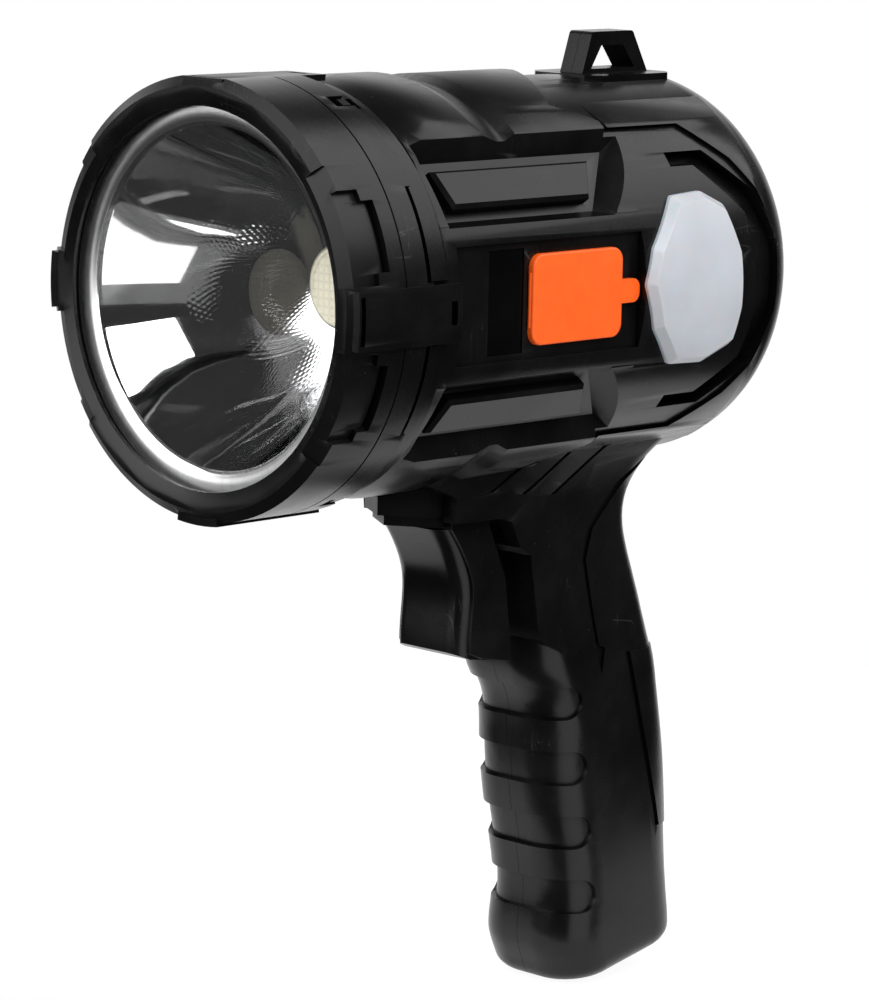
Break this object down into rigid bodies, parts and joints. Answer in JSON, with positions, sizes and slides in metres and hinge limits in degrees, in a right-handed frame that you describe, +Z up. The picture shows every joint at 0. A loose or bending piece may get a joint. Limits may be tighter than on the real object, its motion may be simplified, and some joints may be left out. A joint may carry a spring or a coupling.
{
  "type": "handheld searchlight",
  "caption": "Pistol-grip searchlight with a round snap bezel, polished reflector, side work light, covered charging ports and a squeeze trigger.",
  "frame": {"origin": "middle of the hand grip, on the plane between the two housing halves", "axes": "+Z up along the grip towards the barrel, -Y towards the lens, +X towards the side with the side lamp and the charging cover"},
  "size_m": [0.1028, 0.1605, 0.2352],
  "materials": {
    "black_abs": "satin black moulding with a soft sheen",
    "black_trigger": "satin black moulding",
    "orange_silicone": "soft orange silicone",
    "clear_lens": "clear polished",
    "gasket_rubber": "soft black",
    "mirror_aluminium": "polished mirror inside",
    "emitter_phosphor": "cream phosphor in a white ring",
    "board_white": "white solder mask",
    "board_green": "green solder mask",
    "screw_steel": "zinc plated",
    "sink_aluminium": "bare extruded",
    "milky_diffuser": "milky translucent",
    "smoked_window": "smoked black gloss",
    "led_package": "white package with yellow phosphor",
    "chip_black": "moulded epoxy",
    "socket_steel": "nickel plated shell",
    "spring_steel": "bright spring wire",
    "switch_plastic": "black moulding",
    "plunger_plastic": "red button",
    "cell_wrap": "blue shrink wrap over a metal can",
    "contact_nickel": "nickel plated",
    "wire_pvc": "PVC insulation"
  },
  "bodies": {
    "housing": {"housing_left": "black_abs", "housing_right": "black_abs", "housing_screws": "screw_steel", "bezel_ring": "black_abs", "front_lens": "clear_lens", "lens_gasket": "gasket_rubber", "reflector": "mirror_aluminium", "led_emitter": "emitter_phosphor", "led_board": "board_white", "led_board_screws": "screw_steel", "heat_sink": "sink_aluminium", "heat_sink_screws": "screw_steel", "side_lamp_diffuser": "milky_diffuser", "side_lamp_board": "board_white", "side_lamp_leds": "led_package", "indicator_window": "smoked_window", "charge_leds": "led_package", "control_board": "board_green", "control_board_parts": "chip_black", "control_board_screws": "screw_steel", "usb_output_socket": "socket_steel", "usb_input_socket": "socket_steel", "trigger_pin": "screw_steel", "trigger_spring": "spring_steel", "switch_body": "switch_plastic", "battery_cell": "cell_wrap", "battery_tray": "switch_plastic", "battery_plate_contact": "contact_nickel", "battery_coil_contact": "contact_nickel", "battery_wires": "wire_pvc", "led_wires": "wire_pvc", "switch_wires": "wire_pvc", "side_lamp_wires": "wire_pvc"},
    "trigger": {"trigger": "black_trigger"},
    "plunger": {"switch_plunger": "plunger_plastic"},
    "cover": {"usb_cover": "orange_silicone"}
  },
  "joints": [
    {"name": "trigger_pull", "type": "hinge", "parent": "housing", "child": "trigger", "pos_m": [0, -0.04532, 0.0804], "axis": [1, 0, 0], "range_deg": [0, 6], "stiffness_Nm_per_rad": 0.6, "springref_deg": -5.73, "deforming": ["trigger_spring"]},
    {"name": "plunger_travel", "type": "slide", "parent": "housing", "child": "plunger", "axis": [0, 1, 0], "range_m": [0, 0.0021], "stiffness_N_per_m": 16, "springref_m": -0.0004},
    {"name": "cover_swing", "type": "hinge", "parent": "housing", "child": "cover", "pos_m": [0.0444, -0.06507, 0.131], "axis": [0, 0, -1], "range_deg": [0, 115]}
  ],
  "couplings": [
    {"joint": "plunger_travel", "follows": "trigger_pull", "m_per_rad": 0.02}
  ]
}
